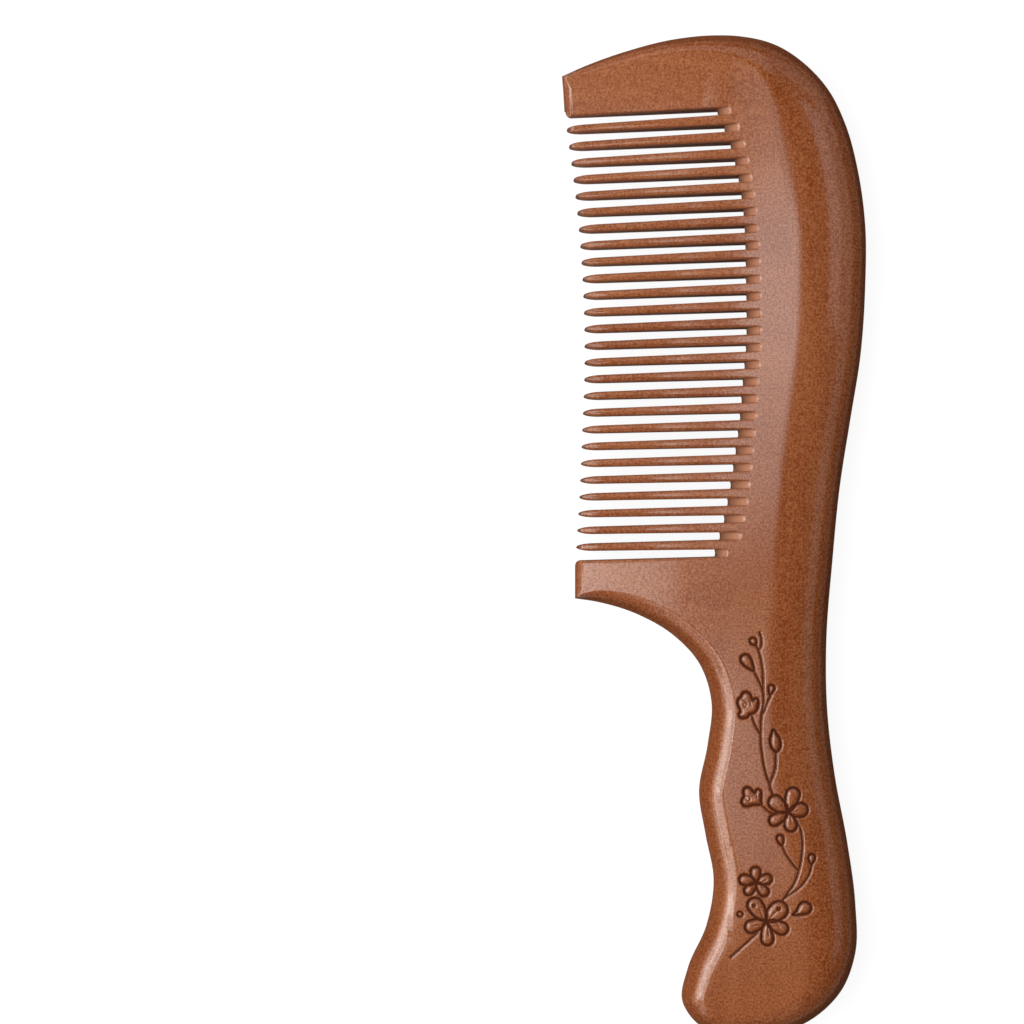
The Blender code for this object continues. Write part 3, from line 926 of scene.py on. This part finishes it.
def note_finish(mesh, painted_shade, sawn):
    """Writes where shade is painted darker, where the wood is sawn, and how dull the lacquer is: on sawn wood, in the
    painted shade's lines and along the outer edge, each from 0 to 1."""
    upright = 1 - np.abs([vert.normal.z for vert in mesh.vertices])
    half = sizes().thickness / 2
    line = thinning()
    below = np.array([half * thin_by(vert.co, line) - abs(vert.co.z - half) for vert in mesh.vertices])
    edge = np.interp(upright, EDGE_DULL_RANGE, (0, 1)) * np.clip(below / EDGE_DULL_DEPTH, 0, 1)
    dull = np.maximum(np.maximum(edge, painted_shade**2), sawn * (1 - SAWN_SHINE * (1 - upright)))
    # Painted shade along the outer edge, where its faces stand upright and turn away from the lamps
    painted_shade = np.maximum(painted_shade, EDGE_SHADE * edge * (1 - sawn))
    for name, values in (("painted_shade", painted_shade), ("sawn", sawn), ("dull", dull)):
        write_layer(mesh, name, values)


def carving_shade(mesh):
    """How deep each point of the front lies in the carving, from 0 to 1, for the painted shade in its grooves."""
    places = np.array([vert.co for vert in mesh.vertices])
    depth, _ = carving_depth(places[:, :2])
    depth[places[:, 2] < sizes().thickness / 2] = 0
    return np.interp(depth / sizes().petal_depth, CARVING_SHADE_RANGE, (0, 1))


def tip_shade(mesh):
    """How near each point lies to its tooth's point, from 0 to 1, for the painted shade at the point."""
    tips = [tip for tip, _ in tooth_tips()][::-1]
    pitch = (tips[-1] - tips[0]).length / (len(tips) - 1)
    places = np.array([vert.co for vert in mesh.vertices])
    away = places[:, 0] - np.interp(places[:, 1], [tip.y for tip in tips], [tip.x for tip in tips])
    near = np.clip(1 - away / TIP_SHADE_LENGTH, 0, 1)
    near[(places[:, 1] < tips[0].y - pitch / 2) | (places[:, 1] > tips[-1].y + pitch / 2)] = 0
    return near


def crease_rims(mesh):
    """Marks the rims of the gaps as sharp, so that the flats between the grooves keep their own shading."""
    shape = bmesh.new()
    shape.from_mesh(mesh)
    for edge in shape.edges:
        steep, flat = sorted([abs(face.normal.z) for face in edge.link_faces] or [0, 0])[:2]
        if flat > RIM_FLAT_LIMIT and steep < RIM_STEEP_LIMIT:
            edge.smooth = False
    shape.to_mesh(mesh)
    shape.free()


def finish_piece(made, material, node):
    """Gives a piece its smooth shading and its material, and puts it in its CAD node's place."""
    made.data.shade_smooth()
    made.data.set_sharp_from_angle(angle=CREASE_ANGLE)
    weigh = made.modifiers.new("even_shading", "WEIGHTED_NORMAL")
    weigh.keep_sharp = True
    made.data.materials.clear()
    made.data.materials.append(material)
    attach(made, "root")
    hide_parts(node)


def linear(colour):
    """An sRGB hex colour as linear RGBA."""
    parts = [int(colour[i : i + 2], 16) / 255 for i in (1, 3, 5)]
    return (*(p / 12.92 if p <= 0.04045 else ((p + 0.055) / 1.055) ** 2.4 for p in parts), 1.0)


def add_node(tree, kind, settings=None, links=None):
    """Adds a node, sets its properties and its inputs, and links other sockets into it. An input whose name another one
    shares goes by its number."""
    node = tree.nodes.new(kind)
    for name, value in (settings or {}).items():
        if isinstance(name, str) and hasattr(node, name):
            setattr(node, name, value)
        else:
            node.inputs[name].default_value = value
    for name, socket in (links or {}).items():
        tree.links.new(socket, node.inputs[name])
    return node


def new_material(name):
    """An empty node material and its tree."""
    material = bpy.data.materials.new(name)
    material.use_nodes = True
    material.node_tree.nodes.clear()
    return material, material.node_tree


def stained_wood(name, turn):
    """Pear wood, stained reddish brown, then sealed with a satin lacquer that was rubbed down: a fine even mottle and
    short pores along the grain, under a sheen that is broad on the flats and sharp along the rounded edges."""
    material, tree = new_material(name)
    c = colours()
    place = add_node(tree, "ShaderNodeTexCoord").outputs["Object"]
    along = add_node(tree, "ShaderNodeMapping", {"Rotation": (0, 0, turn)}, {"Vector": place}).outputs["Vector"]
    figure_place = add_node(
        tree, "ShaderNodeMapping", {"Scale": [1 / size for size in FIGURE_SIZE]}, {"Vector": along}
    ).outputs["Vector"]
    figure = add_node(
        tree, "ShaderNodeTexNoise", {"Scale": 1.0, "Detail": 3.0, "Roughness": 0.55, "Distortion": 0.4},
        {"Vector": figure_place},
    ).outputs["Fac"]
    mottle = add_node(
        tree, "ShaderNodeTexNoise", {"Scale": 1 / MOTTLE_SIZE, "Detail": 2.0, "Roughness": 0.6}, {"Vector": along}
    ).outputs["Fac"]
    pore_place = add_node(
        tree, "ShaderNodeMapping", {"Scale": [1 / size for size in PORE_SIZE]}, {"Vector": along}
    ).outputs["Vector"]
    pores = add_node(
        tree, "ShaderNodeTexNoise", {"Scale": 1.0, "Detail": 1.0, "Roughness": 0.5}, {"Vector": pore_place}
    ).outputs["Fac"]
    pore_mask = add_node(
        tree, "ShaderNodeMapRange", {"From Min": 0.56, "From Max": 0.74, "To Min": 0.0, "To Max": 0.34},
        {"Value": pores},
    ).outputs["Result"]
    shade = add_node(
        tree, "ShaderNodeMix", {"data_type": "FLOAT", "factor_mode": "UNIFORM", FACTOR: 0.75},
        {NUMBER_A: figure, NUMBER_B: mottle},
    ).outputs[MIXED_NUMBER]
    spread = add_node(
        tree, "ShaderNodeMapRange", {"From Min": 0.38, "From Max": 0.62, "To Min": 0.0, "To Max": 1.0},
        {"Value": shade},
    ).outputs["Result"]
    wood = add_node(
        tree, "ShaderNodeMix", {"data_type": "RGBA", COLOUR_A: linear(c.dark_wood), COLOUR_B: linear(c.light_wood)},
        {FACTOR: spread},
    ).outputs[MIXED_COLOUR]
    with_pores = add_node(
        tree, "ShaderNodeMix", {"data_type": "RGBA", COLOUR_B: linear(c.pore)}, {FACTOR: pore_mask, COLOUR_A: wood}
    ).outputs[MIXED_COLOUR]
    painted_shade, sawn, dull = (
        add_node(tree, "ShaderNodeAttribute", {"attribute_name": name}).outputs["Fac"]
        for name in ("painted_shade", "sawn", "dull")
    )
    # Sawn wood between the teeth is lighter: partly its thinner stain, partly painted bounce light in the gaps
    with_walls = add_node(
        tree, "ShaderNodeMix", {"data_type": "RGBA", COLOUR_B: linear(c.sawn_wood_and_bounce_light)},
        {FACTOR: sawn, COLOUR_A: with_pores},
    ).outputs[MIXED_COLOUR]
    # Painted shade: the wood darkens in the carving, at the teeth's points and along the outer edge
    colour = add_node(
        tree, "ShaderNodeMix", {"data_type": "RGBA", COLOUR_B: linear(c.painted_shade_colour)}, {FACTOR: painted_shade, COLOUR_A: with_walls}
    ).outputs[MIXED_COLOUR]
    # The rubbed lacquer follows the mottle a little, in how thick and how smooth it is, which breaks up the sheen
    rough = add_node(
        tree, "ShaderNodeMapRange", {"From Min": 0.3, "From Max": 0.7, "To Min": 0.34, "To Max": 0.44},
        {"Value": mottle},
    ).outputs["Result"]
    bump = add_node(
        tree, "ShaderNodeBump", {"Strength": 0.6, "Distance": MOTTLE_RELIEF}, {"Height": mottle}
    ).outputs["Normal"]
    # Sawn wood has soaked up its lacquer, and the rubbing thinned it along the outer edge: both stay dull
    whole = add_node(
        tree, "ShaderNodeMapRange", {"From Min": 0.3, "From Max": 0.7, "To Min": 0.7, "To Max": 1.05},
        {"Value": mottle},
    ).outputs["Result"]
    lacquer = add_node(
        tree, "ShaderNodeMath", {"operation": "SUBTRACT", "use_clamp": True}, {0: whole, 1: dull}
    ).outputs[0]
    dulled = add_node(
        tree, "ShaderNodeMix", {"data_type": "FLOAT", NUMBER_B: 0.85}, {FACTOR: dull, NUMBER_A: rough}
    ).outputs[MIXED_NUMBER]
    shader = add_node(
        tree, "ShaderNodeBsdfPrincipled",
        {"IOR": 1.5, "Specular IOR Level": 0.25, "Specular Tint": linear(c.wood_sheen), "Coat Roughness": 0.12,
         "Coat IOR": 1.5},
        {"Base Color": colour, "Roughness": dulled, "Normal": bump, "Coat Weight": lacquer},
    )
    add_node(tree, "ShaderNodeOutputMaterial", links={"Surface": shader.outputs["BSDF"]})
    return material


def raw_wood():
    """Planed hardwood of the tongue, without stain or lacquer: pale, dry and faintly banded along its length."""
    material, tree = new_material("planed_bare_hardwood")
    place = add_node(tree, "ShaderNodeTexCoord").outputs["Object"]
    bands = add_node(
        tree, "ShaderNodeMapping", {"Scale": [1 / size for size in BAND_SIZE]}, {"Vector": place}
    ).outputs["Vector"]
    grain = add_node(tree, "ShaderNodeTexNoise", {"Scale": 1.0, "Detail": 3.0}, {"Vector": bands}).outputs["Fac"]
    c = colours()
    colour = add_node(
        tree, "ShaderNodeMix", {"data_type": "RGBA", COLOUR_A: linear(c.raw_band), COLOUR_B: linear(c.raw_wood)},
        {FACTOR: grain},
    ).outputs[MIXED_COLOUR]
    shader = add_node(
        tree, "ShaderNodeBsdfPrincipled", {"Roughness": 0.7, "IOR": 1.5}, {"Base Color": colour}
    )
    add_node(tree, "ShaderNodeOutputMaterial", links={"Surface": shader.outputs["BSDF"]})
    return material


def floor_paper():
    """Matt white background paper: it takes the comb's soft shadow and otherwise shows white in the picture."""
    material, tree = new_material("matt_white_paper")
    lit = add_node(tree, "ShaderNodeBsdfDiffuse", {"Color": linear(colours().floor)})
    glow = add_node(tree, "ShaderNodeEmission", {"Strength": stage_settings().floor_glow})
    shown = add_node(tree, "ShaderNodeAddShader", links={0: lit.outputs[0], 1: glow.outputs[0]})
    ray = add_node(tree, "ShaderNodeLightPath").outputs
    seen = add_node(
        tree, "ShaderNodeMath", {"operation": "MAXIMUM"}, {0: ray["Is Camera Ray"], 1: ray["Is Glossy Ray"]}
    ).outputs[0]
    seen = add_node(
        tree, "ShaderNodeMath", {"operation": "MAXIMUM"}, {0: seen, 1: ray["Is Transmission Ray"]}
    ).outputs[0]
    both = add_node(tree, "ShaderNodeMixShader", links={0: seen, 1: lit.outputs[0], 2: shown.outputs[0]})
    add_node(tree, "ShaderNodeOutputMaterial", links={"Surface": both.outputs[0]})
    return material


def make_floor(shape):
    """A round floor that faces up, with a rising edge."""
    s = stage_settings()
    bmesh.ops.create_circle(shape, cap_ends=True, segments=FLOOR_SEGMENTS, radius=s.floor_radius)
    edges = shape.edges[:]
    for step in range(1, SWEEP_STEPS + 1):
        angle = math.pi / 2 * step / SWEEP_STEPS
        made = bmesh.ops.extrude_edge_only(shape, edges=edges)["geom"]
        edges = [part for part in made if isinstance(part, bmesh.types.BMEdge)]
        for vert in (part for part in made if isinstance(part, bmesh.types.BMVert)):
            out = Vector((vert.co.x, vert.co.y, 0)).normalized()
            vert.co = out * (s.floor_radius + s.sweep_height * math.sin(angle))
            vert.co.z = s.sweep_height * (1 - math.cos(angle))
    bmesh.ops.recalc_face_normals(shape, faces=shape.faces)
    shape.faces.ensure_lookup_table()
    if shape.faces[0].normal.z < 0:
        bmesh.ops.reverse_faces(shape, faces=shape.faces)
    for face in shape.faces[1:]:
        face.smooth = True


def add_floor():
    """Puts the floor in the scene as stage."""
    shape = bmesh.new()
    make_floor(shape)
    mesh = bpy.data.meshes.new("paper_floor")
    shape.to_mesh(mesh)
    shape.free()
    mesh.materials.append(floor_paper())
    floor = bpy.data.objects.new("paper_floor", mesh)
    bpy.context.scene.collection.objects.link(floor)


def add_lamp(name, right, up, wide, high, radiance):
    """A soft lamp that faces the comb's middle, with its width and height given in degrees as it looks from there."""
    s = stage_settings()
    lamp = bpy.data.lights.new(name, "AREA")
    lamp.shape = "RECTANGLE"
    lamp.size, lamp.size_y = (2 * s.lamp_distance * math.tan(math.radians(a / 2)) for a in (wide, high))
    lamp.energy = radiance * s.lamp_level * math.pi * lamp.size * lamp.size_y
    holder = bpy.data.objects.new(name, lamp)
    lean = Vector((math.tan(math.radians(right)), math.tan(math.radians(up)), 1)).normalized()
    holder.location = Vector((0, 0, sizes().thickness / 2)) + lean * s.lamp_distance
    across = (Vector((1, 0, 0)) - lean * lean.x).normalized()
    holder.rotation_mode = "QUATERNION"
    holder.rotation_quaternion = Matrix((across, lean.cross(across), lean)).transposed().to_quaternion()
    bpy.context.scene.collection.objects.link(holder)


def set_world():
    """A faint white light from all sides, and the plain view transform."""
    world = bpy.data.worlds.new("even_light")
    world.use_nodes = True
    light = world.node_tree.nodes["Background"].inputs
    light["Color"].default_value = linear("#FFFFFF")
    light["Strength"].default_value = stage_settings().world_level
    bpy.context.scene.world = world
    bpy.context.scene.view_settings.view_transform = "Standard"


def set_camera():
    """A camera straight above the picture's middle, with the lens that takes in the picture's width."""
    height = stage_settings().camera_height
    view = bpy.data.cameras.new("camera")
    view.lens = view.sensor_width * height / PICTURE_WIDTH
    camera = bpy.data.objects.new("camera", view)
    camera.location = (*PICTURE_MIDDLE, height + sizes().thickness / 2)
    bpy.context.scene.collection.objects.link(camera)
    bpy.context.scene.camera = camera


class COMB_OT_back(bpy.types.Operator):
    """Builds the handle and back board with its carved sprig"""

    bl_idname = "comb.back"
    bl_label = "Handle and back"

    def execute(self, context):
        made = new_object("carved_handle_and_back", make_blank, make_panel, thin_teeth)
        cut(made, ((make_joint_disc, "DIFFERENCE"), (make_groove, "DIFFERENCE")))
        note_finish(made.data, carving_shade(made.data), np.zeros(len(made.data.vertices)))
        finish_piece(made, stained_wood("stained_pear_lengthwise", 0.0), "handle_and_back")
        return {"FINISHED"}


class COMB_OT_teeth(bpy.types.Operator):
    """Builds the tooth board with its teeth, guards and run-out grooves"""

    bl_idname = "comb.teeth"
    bl_label = "Tooth board"

    def execute(self, context):
        made = new_object("toothed_board", make_blank, thin_teeth)
        cut(made, ((make_joint_disc, "INTERSECT"), (make_groove, "DIFFERENCE"), (make_gaps, "DIFFERENCE")))
        note_finish(made.data, tip_shade(made.data), sawn_share(made.data))
        finish_piece(made, stained_wood("stained_pear_crosswise", math.pi / 2), "tooth_board")
        crease_rims(made.data)
        return {"FINISHED"}


class COMB_OT_tongue(bpy.types.Operator):
    """Finishes the hidden tongue of the glued joint"""

    bl_idname = "comb.tongue"
    bl_label = "Joint tongue"

    def execute(self, context):
        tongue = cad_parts["joint_tongue"]
        material = raw_wood()
        for place in tongue.material_slots:
            place.material = material
        return {"FINISHED"}


class COMB_OT_stage(bpy.types.Operator):
    """Sets up the floor, the lamps, the even light and the camera"""

    bl_idname = "comb.stage"
    bl_label = "Stage"

    def execute(self, context):
        add_floor()
        for lamp in LAMPS:
            add_lamp(*lamp)
        set_world()
        set_camera()
        return {"FINISHED"}


class COMB_PT_panel(bpy.types.Panel):
    """Lists the comb's pieces, sizes and colours"""

    bl_label = "Comb"
    bl_idname = "COMB_PT_panel"
    bl_space_type = "VIEW_3D"
    bl_region_type = "UI"
    bl_category = "Comb"

    def draw(self, context):
        for operator in OPERATORS:
            self.layout.operator(operator.bl_idname)
        for name in ("comb_sizes", "comb_colours", "comb_stage"):
            group = getattr(context.scene, name)
            box = self.layout.box()
            for field in group.__annotations__:
                box.prop(group, field)


OPERATORS = (COMB_OT_back, COMB_OT_teeth, COMB_OT_tongue, COMB_OT_stage)
GROUPS = {"comb_sizes": CombSizes, "comb_colours": CombColours, "comb_stage": StageSettings}


def register():
    for kind in (*GROUPS.values(), *OPERATORS, COMB_PT_panel):
        bpy.utils.register_class(kind)
    for name, kind in GROUPS.items():
        setattr(bpy.types.Scene, name, bpy.props.PointerProperty(type=kind))


def unregister():
    for name in GROUPS:
        delattr(bpy.types.Scene, name)
    for kind in (COMB_PT_panel, *reversed(OPERATORS), *reversed(GROUPS.values())):
        bpy.utils.unregister_class(kind)


def main():
    register()
    bpy.ops.comb.back()
    bpy.ops.comb.teeth()
    bpy.ops.comb.tongue()
    bpy.ops.comb.stage()


if __name__ == "__main__":
    main()
